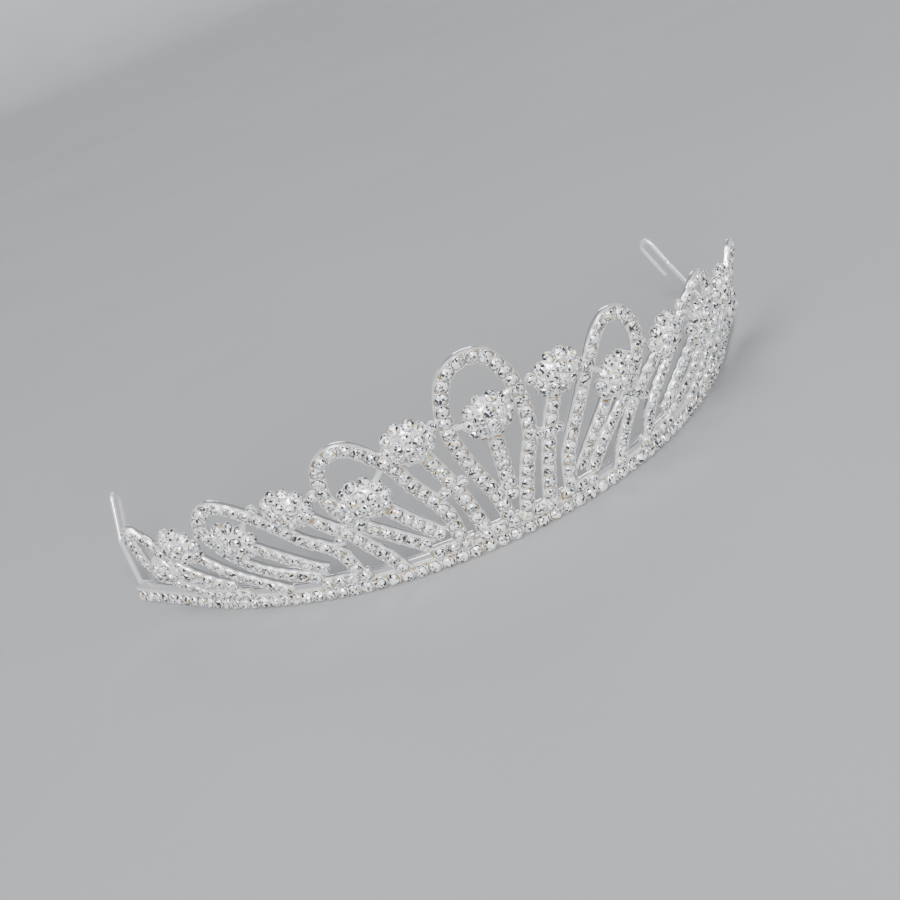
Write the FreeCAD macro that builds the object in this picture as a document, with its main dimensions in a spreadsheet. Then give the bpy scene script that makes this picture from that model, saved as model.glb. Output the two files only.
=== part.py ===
"""Bridal tiara: a curved, flared rhinestone band with fans of looped arches and round clusters.

Every place on the openwork front is given by three lengths: run, the length along the band from its
middle (right is positive), rise, the height up the flared front face from the band's bottom edge, and
proud, the distance in front of that face. Millimetres, +Z up, the wearer behind the band at +Y.
"""
import FreeCAD, Part
import Sketcher
import math
import os

Vector = FreeCAD.Vector

DIMENSIONS = [
    ("front_radius", 57.6, "radius of the band's front stretch"),
    ("front_angle", 36.8, "degrees that each half of the front stretch turns"),
    ("side_radius", 91.9, "radius of each side stretch"),
    ("side_angle", 22.2, "degrees that each side stretch turns"),
    ("tail_length", 23.0, "straight end of the band on each side"),
    ("flare", 21.8, "degrees that the front leans outward"),
    ("rail_height", 3.3, "front rail, which stands upright under the flared front"),
    ("rail_depth", 2.2, "front rail, from its face to its back"),
    ("rail_lip", 0.2, "plain edge under the rail's row of stones"),
    ("rail_groove", 2.45, "width of the groove that holds the rail's stones"),
    ("seat_depth", 0.6, "depth of every stone groove"),
    ("band_gap", 1.2, "clear gap between the rail and the inner band"),
    ("band_width", 1.6, "inner band, front to back"),
    ("band_bottom", 1.1, "height of the inner band's underside"),
    ("band_top", 2.8, "height of the inner band's top"),
    ("band_groove", 0.8, "width of the groove along the inner band's top"),
    ("strip_width", 3.0, "width of an arch or stem strip"),
    ("strip_depth", 1.2, "depth of an arch or stem strip"),
    ("strip_wall", 0.25, "wall each side of a strip's groove"),
    ("stone_width", 2.3, "rhinestone across its girdle"),
    ("stone_depth", 0.85, "rhinestone from its flat back to its table"),
    ("stone_table", 0.56, "table width as a share of the stone's width"),
    ("stone_pitch", 2.5, "spacing of the stones in the strips"),
    ("rail_pitch", 2.65, "spacing of the stones in the rail"),
    ("dome_radius", 4.85, "domed seat of a round cluster"),
    ("end_dome_radius", 3.4, "domed seat of the small cluster in each end fan"),
    ("dome_front", 1.4, "how far a dome stands in front of the face"),
    ("stud_radius", 1.1, "little round seats that tie neighbours together"),
    ("tie_radius", 0.55, "plain bars between a cluster and its arch"),
    ("wire_radius", 0.6, "wire of the two end loops"),
    ("wire_bend", 1.6, "bend radius of that wire"),
    ("wire_lead", 5.0, "straight wire beyond the inner band's end"),
    ("strip_margin", 1.3, "middle of a strip's last stone to the strip's end"),
    ("rail_margin", 1.4, "middle of the rail's last stone to the rail's end"),
    ("foot_margin", 1.25, "middle of a foot's last stone to the foot's end"),
    ("stone_lift", 0.01, "air between a stone's flat back and its seat"),
]

doc = FreeCAD.newDocument("bridal_tiara")
sheet = doc.addObject("Spreadsheet::Sheet", "sizes")
for row, (name, value, meaning) in enumerate(DIMENSIONS, start=1):
    sheet.set(f"A{row}", name)
    sheet.set(f"B{row}", str(value))
    sheet.set(f"C{row}", meaning)
    sheet.setAlias(f"B{row}", name)
doc.recompute()
size = {name: float(sheet.get(name)) for name, value, meaning in DIMENSIONS}

FLARE = math.radians(size["flare"])
FRONT_TURN = math.radians(size["front_angle"])
SIDE_TURN = math.radians(size["side_angle"])
FRONT_RUN = size["front_radius"] * FRONT_TURN
SIDE_RUN = size["side_radius"] * SIDE_TURN
HALF_RUN = FRONT_RUN + SIDE_RUN + size["tail_length"]

# The pattern, as (distance from the middle along the band, rise) along the middle of each strip. The two
# sides were bent by hand, so their arches and sprays differ a little.
CENTRE_ARCH = [(-1.7, 5.6), (-2.4, 11.3), (-3.8, 16.2), (-5.0, 21), (-5.9, 25.5), (-6.2, 30.1), (-5.7, 35.3),
               (-4.2, 40.1), (-1.5, 42.1), (1.6, 41.1), (3.7, 36.7), (5.0, 31.9), (5.5, 26), (5.3, 20.8),
               (4.0, 16.3), (2.8, 11.3), (1.7, 5.6)]
ARCHES = {
    "inner_arch_left": [(10.7, 5.6), (10.9, 11.7), (12.2, 16.3), (14.2, 21.5), (15.6, 26.5), (17.5, 30),
                        (19.6, 33.1), (22, 34.1), (24.6, 32.5), (26.2, 29.1), (26.9, 24.9), (26.3, 20.5),
                        (24.3, 16.3), (21.4, 12.8), (18.8, 9.8), (15.9, 6.5)],
    "inner_arch_right": [(10.6, 5.6), (10.9, 11.7), (12.2, 16.1), (14, 20.7), (15.8, 25.5), (17.4, 29.8),
                         (18.9, 33.7), (21, 35.9), (23.6, 35.1), (25.7, 32.3), (27, 28.5), (27.2, 23.9),
                         (25.2, 19), (22, 15.4), (19, 11.9), (16.5, 8.3), (15.3, 6.3)],
    "outer_arch_left": [(29.8, 5.6), (30.2, 10.2), (31.8, 13.3), (34.9, 16.3), (37.5, 20.4), (40.2, 24.1),
                        (43.2, 27.1), (46.2, 28.7), (49.2, 27.3), (51.6, 24.1), (52.1, 19.9), (50.6, 15.2),
                        (47.6, 11.4), (43.3, 8.8), (36.8, 6.3)],
    "outer_arch_right": [(29.8, 5.6), (30.4, 10.2), (32, 13.5), (35, 17.1), (38, 21.7), (40.4, 24.7),
                         (42.9, 27.3), (45.8, 29.3), (49.2, 28.1), (51.8, 24.9), (52.8, 20.9), (51.2, 15.7),
                         (47.8, 11.7), (43.3, 8.9), (36.8, 6.3)],
    "end_arch_left": [(56.5, 6.9), (61, 8.9), (65.2, 12.2), (67.4, 16.5), (67.8, 20.7), (69.6, 24.1),
                      (72.4, 22.7), (74.6, 18.7), (76.6, 14.6), (76.6, 11.2), (73.8, 8.5), (70, 6.8), (66.8, 6)],
    "end_arch_right": [(56.5, 6.9), (61, 8.9), (65.4, 12.2), (68, 16.5), (68.6, 21.3), (70.6, 25.3), (73.6, 23.7),
                       (75.8, 18.9), (77.2, 14.6), (76.6, 11.2), (73.8, 8.5), (70, 6.8), (66.8, 6)],
}
STEMS = {
    "centre_drop": [(0, 12), (0, 24.8)],
    "first_spray_left": [(6, 2.8), (6.9, 10), (8.2, 17), (9.6, 22.6), (10.9, 27)],
    "first_spray_right": [(6, 2.8), (6.8, 10), (8, 17), (9.4, 22.8), (10.7, 27.2)],
    "inner_drop_left": [(14.2, 9.6), (15.5, 11.8), (17.2, 14.4), (19.4, 18.4)],
    "inner_drop_right": [(14.2, 9.8), (15.6, 12.2), (17.3, 14.9), (19.9, 19.1)],
    "second_spray_left": [(22, 2.8), (23.4, 7.2), (25.2, 11), (27, 15.2), (29.3, 18), (31.2, 20.8)],
    "second_spray_right": [(21.6, 2.8), (22.6, 7.2), (23.8, 11), (25.9, 14.9), (28.7, 17.9), (32.1, 20.6)],
    "outer_drop_left": [(36.8, 9.3), (39.4, 11.6), (41.8, 13.8), (45, 16.9)],
    "outer_drop_right": [(36.8, 9.3), (39.4, 11.6), (42, 13.8), (45.7, 16.6)],
    "third_spray_left": [(45, 4), (50, 7.4), (54.5, 10.6), (58.2, 15.2)],
    "third_spray_right": [(45, 4), (50, 7.4), (55, 10.8), (59.3, 15.8)],
    "end_drop_left": [(64.4, 8.4), (66, 9.4), (68.8, 11)],
    "end_drop_right": [(64.4, 8.4), (66, 9.4), (69, 11)],
}
CLUSTERS = {
    "centre_drop": (0, 28.8), "first_spray_left": (12, 30.1), "first_spray_right": (11.7, 30.5),
    "inner_drop_left": (21.7, 21.7), "inner_drop_right": (22.5, 22.7), "second_spray_left": (33.8, 24.3),
    "second_spray_right": (35.2, 23.2), "outer_drop_left": (47.7, 19.2), "outer_drop_right": (49, 19),
    "third_spray_left": (60.8, 19.2), "third_spray_right": (62.2, 20), "end_drop_left": (71.6, 12.6),
    "end_drop_right": (72.2, 12.9),
}
FEET = {"centre": (0, 7.75), "inner": (12.6, 4.15), "outer": (33.2, 5.2), "end": (60.8, 6.5)}
FOOT_RISE = 4.3
STUDS = {
    "left": [(8, 31.6), (15, 27.8), (6.9, 17.9), (10.2, 16.8), (28.6, 25.9), (26.2, 17.7), (29.2, 14.1),
             (39.3, 26.1), (53.6, 22)],
    "right": [(7.4, 31.9), (15.4, 30), (6.8, 20.4), (10.3, 19.5), (28.6, 25.9), (25.7, 17.1), (29, 14.5),
              (40.2, 26.8), (54.4, 22.6)],
}
TIES = [((-3.2, 28.6), (-5.4, 29.4)), ((2.5, 31.3), (4.8, 32.2)), ((-19.4, 24.1), (-16.8, 27.4)),
        ((20.2, 24.9), (17.2, 27.8)), ((-44.6, 21.2), (-42.0, 24.1)), ((45.8, 21.4), (42.6, 25.2))]
TIE_PROUD = -0.8

# A cluster's rings of stones, as (stones in the ring, degrees that they lean from the cluster's middle).
BIG_RINGS = [(1, 0), (6, 27), (10, 54)]
SMALL_RINGS = [(1, 0), (6, 38)]

RAIL_SAMPLES = 160
LOOSEST_ROW = 1.06  # the most that a row may open its pitch to fill its strip
BEND_SHARE = 0.45  # the most of a straight run that one bend may use
JOIN_ERROR = 0.5  # cubic millimetres
ROUNDING = 1e-9


def on_band(run):
    """Plan point of the band's bottom front edge and its heading there, in radians."""
    along = abs(run)
    front, side = size["front_radius"], size["side_radius"]
    turn = min(along / front, FRONT_TURN)
    x, y = front * math.sin(turn), front * (1 - math.cos(turn))
    if along > FRONT_RUN:
        turn = FRONT_TURN + min((along - FRONT_RUN) / side, SIDE_TURN)
        x += side * (math.sin(turn) - math.sin(FRONT_TURN))
        y += side * (math.cos(FRONT_TURN) - math.cos(turn))
    tail = max(0.0, along - FRONT_RUN - SIDE_RUN)
    x, y = x + tail * math.cos(turn), y + tail * math.sin(turn)
    return (x, y, turn) if run >= 0 else (-x, y, -turn)


def outward(run):
    """Unit normal of the flared face."""
    turn = on_band(run)[2]
    level = math.cos(FLARE)
    return Vector(math.sin(turn) * level, -math.cos(turn) * level, -math.sin(FLARE))


def on_face(run, rise, proud=0.0):
    """The point at that run and rise, standing proud of the flared face."""
    x, y, turn = on_band(run)
    lean = rise * math.sin(FLARE)
    point = Vector(x + lean * math.sin(turn), y - lean * math.cos(turn), rise * math.cos(FLARE))
    return point + outward(run) * proud


def rail_outward(run):
    """Unit normal of the upright rail."""
    turn = on_band(run)[2]
    return Vector(math.sin(turn), -math.cos(turn), 0)


def on_rail(run, height, proud=0.0):
    """The point at that run and height, standing proud of the rail's front."""
    x, y, turn = on_band(run)
    return Vector(x, y, height) + rail_outward(run) * proud


def smooth(points, steps=6):
    """A smooth line (Catmull-Rom) through hand-set points, with that many steps between neighbours."""
    first = tuple(2 * a - b for a, b in zip(points[0], points[1]))
    last = tuple(2 * a - b for a, b in zip(points[-1], points[-2]))
    guide = [first, *points, last]
    line = []
    for p, q, r, w in zip(guide, guide[1:], guide[2:], guide[3:]):
        for step in range(steps):
            u = step / steps
            line.append(tuple(
                0.5 * (2 * b + (c - a) * u + (2 * a - 5 * b + 4 * c - d) * u**2
                       + (3 * b - a - 3 * c + d) * u**3)
                for a, b, c, d in zip(p, q, r, w)))
    return line + [points[-1]]


def frames(line):
    """For each (run, rise) of a line: its point on the face, the way across the strip, and the normal."""
    points = [on_face(run, rise) for run, rise in line]
    found = []
    for i, (run, rise) in enumerate(line):
        heading = points[min(i + 1, len(points) - 1)] - points[max(i - 1, 0)]
        normal = outward(run)
        across = normal.cross(heading)
        found.append((points[i], across.normalize(), normal))
    return found


def channel_section():
    """Corners (across, proud) of a strip: a bar with a stone groove along its front."""
    half, inner = size["strip_width"] / 2, size["strip_width"] / 2 - size["strip_wall"]
    back, seat = -size["strip_depth"], -size["seat_depth"]
    return [(-half, back), (half, back), (half, 0), (inner, 0), (inner, seat), (-inner, seat),
            (-inner, 0), (-half, 0)]


def swept(line, section):
    """Solid that carries a section along a line on the flared face."""
    rails = []
    for across, proud in section:
        curve = Part.BSplineCurve()
        curve.interpolate([p + side * across + normal * proud for p, side, normal in frames(line)])
        rails.append(curve.toShape())
    walls = [Part.makeRuledSurface(a, b, 1) for a, b in zip(rails, rails[1:] + rails[:1])]
    caps = []
    for end in (0, -1):
        corners = [rail.Vertexes[end].Point for rail in rails]
        caps.append(Part.Face(Part.makePolygon(corners + corners[:1])))
    shell = Part.makeShell(walls + caps)
    shell.sewShape()
    solid = Part.makeSolid(shell)
    if solid.Volume < 0:
        solid.reverse()
    return solid


def strip(points):
    """One channel strip through hand-set points."""
    return swept(smooth(points), channel_section())


def side_of(name):
    """-1 for a piece of the left side and 1 for any other."""
    return -1 if name.endswith("left") else 1


def mirrored(points, side):
    """The same points on that side of the middle: 1 is right and -1 is left."""
    return [(side * run, rise) for run, rise in points]


def placement(point, normal):
    """Placement that turns +Z to the normal at a point."""
    return FreeCAD.Placement(point, FreeCAD.Rotation(Vector(0, 0, 1), normal))


def stone_shape():
    """One flat-backed, eight-sided rhinestone with its back on the XY plane."""
    girdle, table = size["stone_width"] / 2, size["stone_width"] * size["stone_table"] / 2
    angles = [math.radians(45 * k + 22.5) for k in range(8)]
    low = [Vector(girdle * math.cos(a), girdle * math.sin(a), 0) for a in angles]
    high = [Vector(table * math.cos(a), table * math.sin(a), size["stone_depth"]) for a in angles]
    faces = [Part.Face(Part.makePolygon(ring + ring[:1])) for ring in (low, high)]
    for k in range(8):
        n = (k + 1) % 8
        faces.append(Part.Face(Part.makePolygon([low[k], low[n], high[n], high[k], low[k]])))
    shell = Part.makeShell(faces)
    shell.sewShape()
    solid = Part.makeSolid(shell)
    if solid.Volume < 0:
        solid.reverse()
    return solid


STONE = stone_shape()
SEAT = size["stone_lift"] - size["seat_depth"]


def stone_at(point, normal):
    stone = STONE.copy()
    stone.Placement = placement(point, normal)
    return stone


def row_of_stones(line, pitch, proud, margin, place=on_face, facing=outward):
    """Stones spaced evenly along a line on the face or the rail, clear of its ends by the margin."""
    points = [place(run, rise) for run, rise in line]
    reach = [0.0]
    for a, b in zip(points, points[1:]):
        reach.append(reach[-1] + (b - a).Length)
    usable = reach[-1] - 2 * margin
    count = max(1, int(usable / pitch) + 1)
    stones = []
    for k in range(count):
        wanted = reach[-1] / 2 + (k - (count - 1) / 2) * min(pitch * LOOSEST_ROW, usable / max(1, count - 1))
        i = next(n for n in range(1, len(reach)) if reach[n] >= wanted - ROUNDING)
        u = (wanted - reach[i - 1]) / (reach[i] - reach[i - 1])
        run = line[i - 1][0] + u * (line[i][0] - line[i - 1][0])
        rise = line[i - 1][1] + u * (line[i][1] - line[i - 1][1])
        stones.append(stone_at(place(run, rise, proud), facing(run)))
    return stones


def dome_size(name):
    return size["end_dome_radius"] if name.startswith("end_drop") else size["dome_radius"]


def dome(run, rise, radius):
    """Domed seat of a cluster: a slice of a ball with its flat back level with the strips' backs."""
    ball_centre = on_face(run, rise, size["dome_front"] - radius)
    back = size["strip_depth"] + size["dome_front"]
    keep = Part.makeCylinder(radius + 1, back, ball_centre, outward(run))
    keep.translate(outward(run) * (radius - back))
    ball = Part.makeSphere(radius)
    ball.Placement = placement(ball_centre, outward(run))
    return ball.common(keep)


def cluster_stones(run, rise, radius):
    """One stone on top of the dome and rings of stones round it."""
    centre = on_face(run, rise, size["dome_front"] - radius)
    turn_to_face = FreeCAD.Rotation(Vector(0, 0, 1), outward(run))
    rings = BIG_RINGS if radius == size["dome_radius"] else SMALL_RINGS
    stones = []
    for count, tilt in rings:
        for k in range(count):
            lean, spin = math.radians(tilt), 2 * math.pi * k / count
            way = Vector(math.sin(lean) * math.cos(spin), math.sin(lean) * math.sin(spin), math.cos(lean))
            way = turn_to_face.multVec(way)
            stones.append(stone_at(centre + way * (radius + size["stone_lift"]), way))
    return stones


def add_shape(label, shape):
    feature = doc.addObject("Part::Feature", label)
    feature.Label = label
    feature.Shape = shape
    parts.append(feature)


def add_swept_body(label, corners):
    """A body whose profile, in the plane of the band's middle, is piped along half the band and mirrored.

    Each corner is (y, z, expression of y, expression of z).
    """
    body = doc.addObject("PartDesign::Body", label)
    body.Label = label
    planes = {feature.Role: feature for feature in body.Origin.OriginFeatures}

    path = body.newObject("Sketcher::SketchObject", label + "_path")
    path.AttachmentSupport = [(planes["XY_Plane"], "")]
    path.MapMode = "FlatFace"
    front, side = size["front_radius"], size["side_radius"]
    x1, y1, turn1 = on_band(FRONT_RUN)
    x2, y2, turn2 = on_band(FRONT_RUN + SIDE_RUN)
    x3, y3, turn3 = on_band(HALF_RUN)
    side_centre = Vector(x1 - side * math.sin(turn1), y1 + side * math.cos(turn1), 0)
    up, normal = math.radians(-90), Vector(0, 0, 1)
    path.addGeometry(Part.ArcOfCircle(Part.Circle(Vector(0, front, 0), normal, front), up, up + turn1))
    path.addGeometry(Part.ArcOfCircle(Part.Circle(side_centre, normal, side), up + turn1, up + turn2))
    path.addGeometry(Part.LineSegment(Vector(x2, y2, 0), Vector(x3, y3, 0)))
    path.addConstraint(Sketcher.Constraint("Coincident", 0, 1, -1, 1))
    path.addConstraint(Sketcher.Constraint("PointOnObject", 0, 3, -2))
    path.addConstraint(Sketcher.Constraint("Tangent", 0, 2, 1, 1))
    path.addConstraint(Sketcher.Constraint("Tangent", 1, 2, 2, 1))
    for geometry, kind, name, expression in (
            (0, "Radius", "front_radius", "sizes.front_radius"),
            (1, "Radius", "side_radius", "sizes.side_radius"),
            (2, "Distance", "tail_length", "sizes.tail_length")):
        value = size[name]
        index = path.addConstraint(Sketcher.Constraint(kind, geometry, value))
        path.renameConstraint(index, name)
        path.setExpression("Constraints." + name, expression)
    for arc, reach, name in ((0, x1, "front_reach"), (1, x2, "side_reach")):
        index = path.addConstraint(Sketcher.Constraint("DistanceX", -1, 1, arc, 2, reach))
        path.renameConstraint(index, name)
    path.setExpression("Constraints.front_reach", "sizes.front_radius * sin(sizes.front_angle * 1 deg)")
    path.setExpression(
        "Constraints.side_reach",
        "sizes.front_radius * sin(sizes.front_angle * 1 deg) + sizes.side_radius"
        " * (sin((sizes.front_angle + sizes.side_angle) * 1 deg) - sin(sizes.front_angle * 1 deg))")

    profile = body.newObject("Sketcher::SketchObject", label + "_profile")
    profile.AttachmentSupport = [(planes["YZ_Plane"], "")]
    profile.MapMode = "FlatFace"
    count = len(corners)
    for i in range(count):
        a, b = corners[i], corners[(i + 1) % count]
        profile.addGeometry(Part.LineSegment(Vector(a[0], a[1], 0), Vector(b[0], b[1], 0)))
    for i in range(count):
        profile.addConstraint(Sketcher.Constraint("Coincident", i, 2, (i + 1) % count, 1))
    for i, (y, z, y_expression, z_expression) in enumerate(corners):
        for kind, value, expression in (("DistanceX", y, y_expression), ("DistanceY", z, z_expression)):
            index = profile.addConstraint(Sketcher.Constraint(kind, -1, 1, i, 1, value))
            name = f"{'y' if kind == 'DistanceX' else 'z'}_corner{i}"
            profile.renameConstraint(index, name)
            profile.setExpression("Constraints." + name, expression)
    doc.recompute()

    pipe = body.newObject("PartDesign::AdditivePipe", label + "_half")
    pipe.Profile = profile
    pipe.Spine = (path, ["Edge1", "Edge2", "Edge3"])
    doc.recompute()
    other_half = body.newObject("PartDesign::Mirrored", label + "_both")
    other_half.Originals = [pipe]
    other_half.MirrorPlane = (planes["YZ_Plane"], [""])
    body.Tip = other_half
    doc.recompute()
    parts.append(body)


def add_front_rail():
    """The rail stands upright on its flat bottom; its front is grooved for a row of stones."""
    lip, groove_top = size["rail_lip"], size["rail_lip"] + size["rail_groove"]
    seat, top, depth = size["seat_depth"], size["rail_height"], size["rail_depth"]
    seat_text, top_text, depth_text = "sizes.seat_depth", "sizes.rail_height", "sizes.rail_depth"
    lip_text, groove_text = "sizes.rail_lip", "sizes.rail_lip + sizes.rail_groove"
    add_swept_body("front_rail", [
        (0, 0, "0", "0"), (0, lip, "0", lip_text), (seat, lip, seat_text, lip_text),
        (seat, groove_top, seat_text, groove_text), (0, groove_top, "0", groove_text),
        (0, top, "0", top_text), (depth, top, depth_text, top_text), (depth, 0, depth_text, "0")])


def add_inner_band():
    """A thin band behind the rail, with a narrow groove along its top."""
    near = size["rail_depth"] + size["band_gap"]
    near_text = "sizes.rail_depth + sizes.band_gap"
    low, high = size["band_bottom"], size["band_top"]
    wide, groove = size["band_width"], size["band_groove"]
    floor = high - groove / 2
    across = [(near, near_text),
              (near + (wide - groove) / 2, near_text + " + (sizes.band_width - sizes.band_groove) / 2"),
              (near + (wide + groove) / 2, near_text + " + (sizes.band_width + sizes.band_groove) / 2"),
              (near + wide, near_text + " + sizes.band_width")]
    low_text, high_text = "sizes.band_bottom", "sizes.band_top"
    floor_text = "sizes.band_top - sizes.band_groove / 2"
    outline = [(0, low, low_text), (0, high, high_text), (1, high, high_text), (1, floor, floor_text),
               (2, floor, floor_text), (2, high, high_text), (3, high, high_text), (3, low, low_text)]
    add_swept_body("inner_band", [(across[i][0], z, across[i][1], text) for i, z, text in outline])


def rounded_path(points, radius):
    """A wire of straight runs with a tangent arc at every inner point."""
    edges, start = [], points[0]
    for before, corner, after in zip(points, points[1:], points[2:]):
        back, ahead = (before - corner).normalize(), (after - corner).normalize()
        half_turn = (math.pi - back.getAngle(ahead)) / 2
        reach = BEND_SHARE * min((before - corner).Length, (after - corner).Length)
        trim = min(radius * math.tan(half_turn), reach)
        bend = trim / math.tan(half_turn)
        enter, leave = corner + back * trim, corner + ahead * trim
        bisector = (back + ahead).normalize()
        middle = corner + bisector * (bend / math.cos(half_turn) - bend)
        edges.append(Part.LineSegment(start, enter).toShape())
        edges.append(Part.Arc(enter, middle, leave).toShape())
        start = leave
    edges.append(Part.LineSegment(start, points[-1]).toShape())
    return Part.Wire(edges)


# Each end loop, hand bent: (how far out, back and up) of its foot and its tip, for that side.
LOOP_FOOT = {"left": (71.0, 88.0, 4.2), "right": (71.0, 88.0, 9.0)}
LOOP_TIP = {"left": (68.3, 89.5, 15.3), "right": (68.1, 89.5, 17.0)}
LOOP_SPREAD = (-0.9, 3.1, -2.4)


def add_wire_loop(side_name, side):
    """Wire from the inner band's end, back and then up into a narrow hairpin."""
    x, y, turn = on_band(side * HALF_RUN)
    inside = size["rail_depth"] + size["band_gap"] + size["band_width"] / 2
    middle_height = (size["band_bottom"] + size["band_top"] - size["band_groove"] / 2) / 2
    start = Vector(x - inside * math.sin(turn), y + inside * math.cos(turn), middle_height)
    heading = Vector(math.cos(turn) * side, math.sin(turn) * side, 0)
    foot, tip = (Vector(side * a, b, c) for a, b, c in (LOOP_FOOT[side_name], LOOP_TIP[side_name]))
    spread = Vector(side * LOOP_SPREAD[0], LOOP_SPREAD[1], LOOP_SPREAD[2])
    points = [start, start + heading * size["wire_lead"], foot, tip, tip + spread, foot + spread]
    path = rounded_path(points, size["wire_bend"])
    circle = Part.Wire(Part.makeCircle(size["wire_radius"], start, heading))
    pipe = path.makePipeShell([circle], True, False)
    add_shape(f"wire_loop_{side_name}", pipe)


def add_rail_stones():
    middle = size["rail_lip"] + size["rail_groove"] / 2
    line = [(HALF_RUN * (2 * k / RAIL_SAMPLES - 1), middle) for k in range(RAIL_SAMPLES + 1)]
    stones = row_of_stones(line, size["rail_pitch"], SEAT, size["rail_margin"], on_rail, rail_outward)
    add_shape("rail_stones", Part.makeCompound(stones))


def add_strip_with_stones(label, points):
    add_shape(label, strip(points))
    stones = row_of_stones(smooth(points), size["stone_pitch"], SEAT, size["strip_margin"])
    add_shape(label + "_stones", Part.makeCompound(stones))


def add_cluster_piece(name):
    """A stem ending in a domed cluster seat, cast in one piece, and its stones."""
    side = side_of(name)
    run, rise = CLUSTERS[name]
    last_run, last_rise = STEMS[name][-1]
    stem = mirrored(STEMS[name] + [((last_run + run) / 2, (last_rise + rise) / 2)], side)
    run, radius = side * run, dome_size(name)
    stem_solid, seat_solid = strip(stem), dome(run, rise, radius)
    casting = stem_solid.fuse(seat_solid)
    shared = stem_solid.common(seat_solid).Volume
    if abs(casting.Volume - stem_solid.Volume - seat_solid.Volume + shared) > JOIN_ERROR:
        raise RuntimeError(f"{name}: the stem and its seat did not join")
    add_shape(name, casting)
    centre, clear = on_face(run, rise), radius + size["stone_width"] / 2
    row = row_of_stones(smooth(stem), size["stone_pitch"], SEAT, size["strip_margin"])
    stones = [stone for stone in row if (stone.Placement.Base - centre).Length > clear]
    stones += cluster_stones(run, rise, radius)
    add_shape(name + "_stones", Part.makeCompound(stones))


def add_feet():
    """Short grooved strips on top of the rail where the legs of a fan meet, with their stones."""
    feet, stones = [], []
    for name, (middle, half) in FEET.items():
        for side in ((1,) if name == "centre" else (1, -1)):
            line = [(side * middle + half * (k / 4 - 1), FOOT_RISE) for k in range(9)]
            feet.append(swept(line, channel_section()))
            stones += row_of_stones(line, size["stone_pitch"], SEAT, size["foot_margin"])
    add_shape("fan_feet", Part.makeCompound(feet))
    add_shape("fan_feet_stones", Part.makeCompound(stones))


def add_studs(side_name, side):
    """Little round seats with one stone each, which tie neighbouring strips and clusters together."""
    seats, stones = [], []
    for run, rise in mirrored(STUDS[side_name], side):
        back = on_face(run, rise, -size["strip_depth"])
        depth = size["strip_depth"] - size["seat_depth"]
        seats.append(Part.makeCylinder(size["stud_radius"], depth, back, outward(run)))
        stones.append(stone_at(on_face(run, rise, SEAT), outward(run)))
    add_shape(f"tie_studs_{side_name}", Part.makeCompound(seats))
    add_shape(f"tie_studs_{side_name}_stones", Part.makeCompound(stones))


def add_ties():
    """Plain round bars between a cluster and its arch."""
    bars = []
    for near, far in TIES:
        start, end = on_face(*near, TIE_PROUD), on_face(*far, TIE_PROUD)
        bars.append(Part.makeCylinder(size["tie_radius"], (end - start).Length, start, end - start))
    add_shape("cluster_ties", Part.makeCompound(bars))


parts = []
add_front_rail()
add_inner_band()
add_rail_stones()
add_strip_with_stones("centre_arch", CENTRE_ARCH)
for name, points in ARCHES.items():
    add_strip_with_stones(name, mirrored(points, side_of(name)))
for name in STEMS:
    add_cluster_piece(name)
for side_name, side in (("left", -1), ("right", 1)):
    add_wire_loop(side_name, side)
    add_studs(side_name, side)
add_feet()
add_ties()
doc.recompute()

# The part's own origin is under the middle of its box, on the surface that it stands on.
whole = FreeCAD.BoundBox()
for part in parts:
    whole.add(part.Shape.BoundBox)
to_origin = Vector(0, -(whole.YMin + whole.YMax) / 2, 0)
for part in parts:
    part.Placement.move(to_origin)
doc.recompute()

for feature in doc.Objects:
    if "Invalid" in feature.State or "Error" in feature.State:
        raise RuntimeError(f"{feature.Label} could not be built: {feature.State}")
for part in parts:
    if part.Shape.isNull() or not part.Shape.isValid():
        raise RuntimeError(f"{part.Label} has no valid shape")

os.makedirs("parts", exist_ok=True)
for part in parts:
    part.Shape.exportStep(f"parts/{part.Label}.step")
    print(part.Label, len(part.Shape.Solids), round(part.Shape.Volume, 2), part.Shape.BoundBox)
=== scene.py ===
import math
import random

import bmesh
import bpy
from mathutils import Matrix, Vector


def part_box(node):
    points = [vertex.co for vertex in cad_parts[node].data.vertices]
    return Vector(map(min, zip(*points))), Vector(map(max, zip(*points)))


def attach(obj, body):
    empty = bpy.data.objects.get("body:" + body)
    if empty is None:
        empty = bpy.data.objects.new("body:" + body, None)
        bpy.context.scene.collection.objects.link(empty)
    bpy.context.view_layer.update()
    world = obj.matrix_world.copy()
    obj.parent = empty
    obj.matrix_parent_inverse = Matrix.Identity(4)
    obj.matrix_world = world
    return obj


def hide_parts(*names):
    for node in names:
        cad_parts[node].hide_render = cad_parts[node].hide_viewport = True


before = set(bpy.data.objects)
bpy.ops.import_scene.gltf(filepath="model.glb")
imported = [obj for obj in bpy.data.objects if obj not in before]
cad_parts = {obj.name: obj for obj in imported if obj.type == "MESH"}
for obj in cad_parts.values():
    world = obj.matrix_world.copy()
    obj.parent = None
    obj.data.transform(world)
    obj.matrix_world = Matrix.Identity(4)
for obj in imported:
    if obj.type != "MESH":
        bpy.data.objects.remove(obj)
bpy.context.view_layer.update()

MM = 0.001
CHANCE = random.Random(11)

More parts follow.
